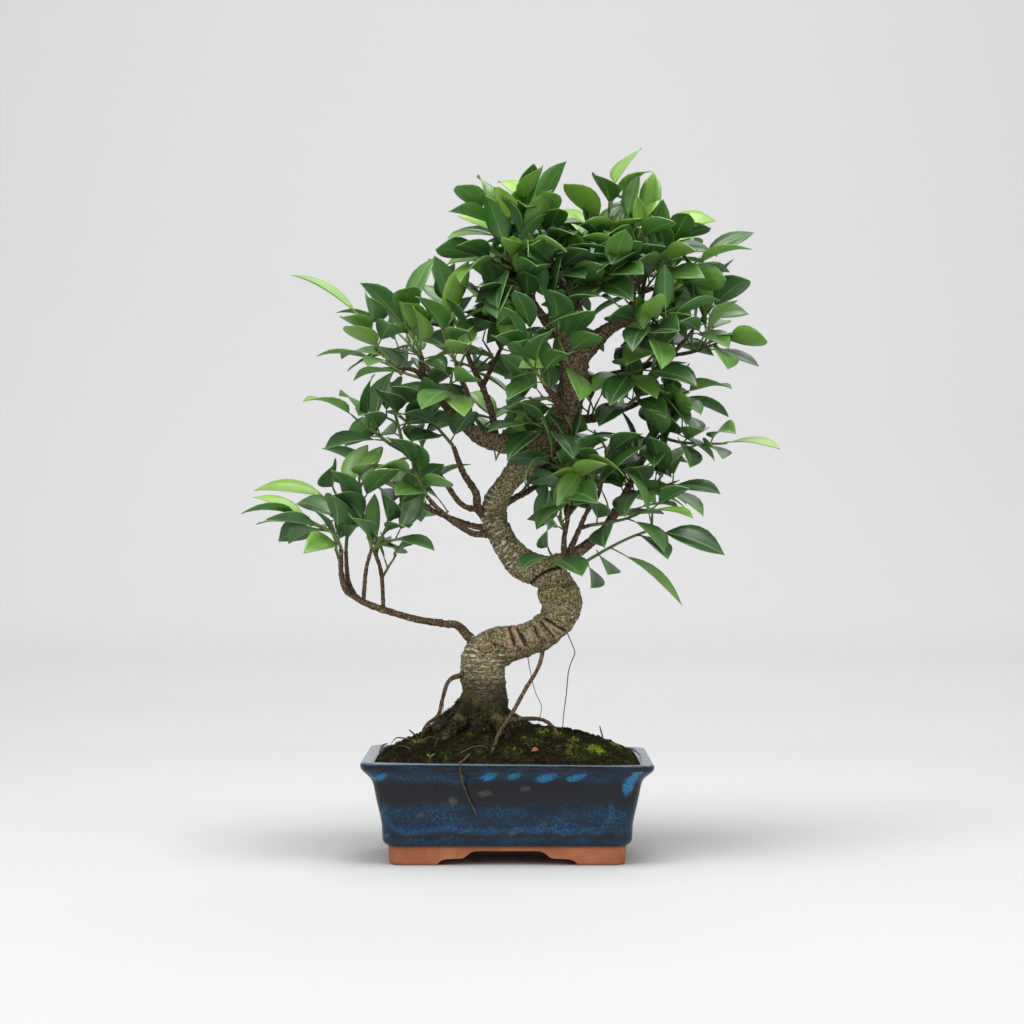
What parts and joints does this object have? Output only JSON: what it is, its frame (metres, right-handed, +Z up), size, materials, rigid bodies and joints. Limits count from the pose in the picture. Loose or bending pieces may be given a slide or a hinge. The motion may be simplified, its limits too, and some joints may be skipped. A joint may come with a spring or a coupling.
{
  "type": "potted bonsai tree",
  "caption": "Bonsai fig with an S-shaped trunk and leafy shoots, in a glazed rectangular pot that stands on cloud feet.",
  "frame": {"origin": "on the ground below the middle of the whole plant's box; the pot's middle is a few millimetres from it", "axes": "+Z up, +X to the right seen from the front, the front faces -Y"},
  "size_m": [0.3834, 0.2392, 0.5175],
  "materials": {
    "glaze": "glossy",
    "drain_plastic": "satin",
    "soil": "matte",
    "bark": "rough",
    "leaf": "satin"
  },
  "bodies": {
    "root": {"pot": "glaze", "drain_mesh_left": "drain_plastic", "drain_mesh_right": "drain_plastic", "soil": "soil", "tree_wood": "bark", "spray_low_left_front": "leaf", "spray_low_left_up": "leaf", "spray_low_left_middle": "leaf", "spray_low_left_inner": "leaf", "spray_middle_left_tip": "leaf", "spray_middle_left_inner": "leaf", "spray_middle_left_low": "leaf", "spray_middle_left_rise": "leaf", "spray_left_tip": "leaf", "spray_left_upper": "leaf", "spray_left_centre": "leaf", "spray_left_low": "leaf", "spray_left_mid_back": "leaf", "spray_left_mid_front": "leaf", "spray_centre_front": "leaf", "spray_centre_low": "leaf", "spray_centre_up": "leaf", "spray_crown_left_tip": "leaf", "spray_crown_left_low": "leaf", "spray_crown_left_inner": "leaf", "spray_crown_top": "leaf", "spray_crown_top_front": "leaf", "spray_crown_right_top": "leaf", "spray_crown_right_low": "leaf", "spray_crown_right_mid": "leaf", "spray_crown_right_tip": "leaf", "spray_crown_far_right": "leaf", "spray_right_fork": "leaf", "spray_right_big": "leaf", "spray_right_upper": "leaf", "spray_right_inner": "leaf", "spray_right_mid": "leaf", "spray_right_mid_tip": "leaf", "spray_right_mid_inner": "leaf", "spray_right_mid_low": "leaf", "spray_low_right_rise": "leaf", "spray_low_right_outer": "leaf", "spray_low_right_shoot": "leaf", "spray_low_right_large": "leaf", "spray_low_right_up": "leaf", "spray_elbow_bud": "leaf", "spray_back_crown_tip": "leaf", "spray_back_crown_side": "leaf", "spray_back_crown_right": "leaf", "spray_back_crown_far": "leaf", "spray_back_left_tip": "leaf", "spray_back_left_side": "leaf", "spray_back_middle_tip": "leaf", "spray_back_middle_side": "leaf", "spray_back_inner": "leaf", "spray_back_low_left": "leaf", "spray_back_right": "leaf"}
  },
  "joints": []
}
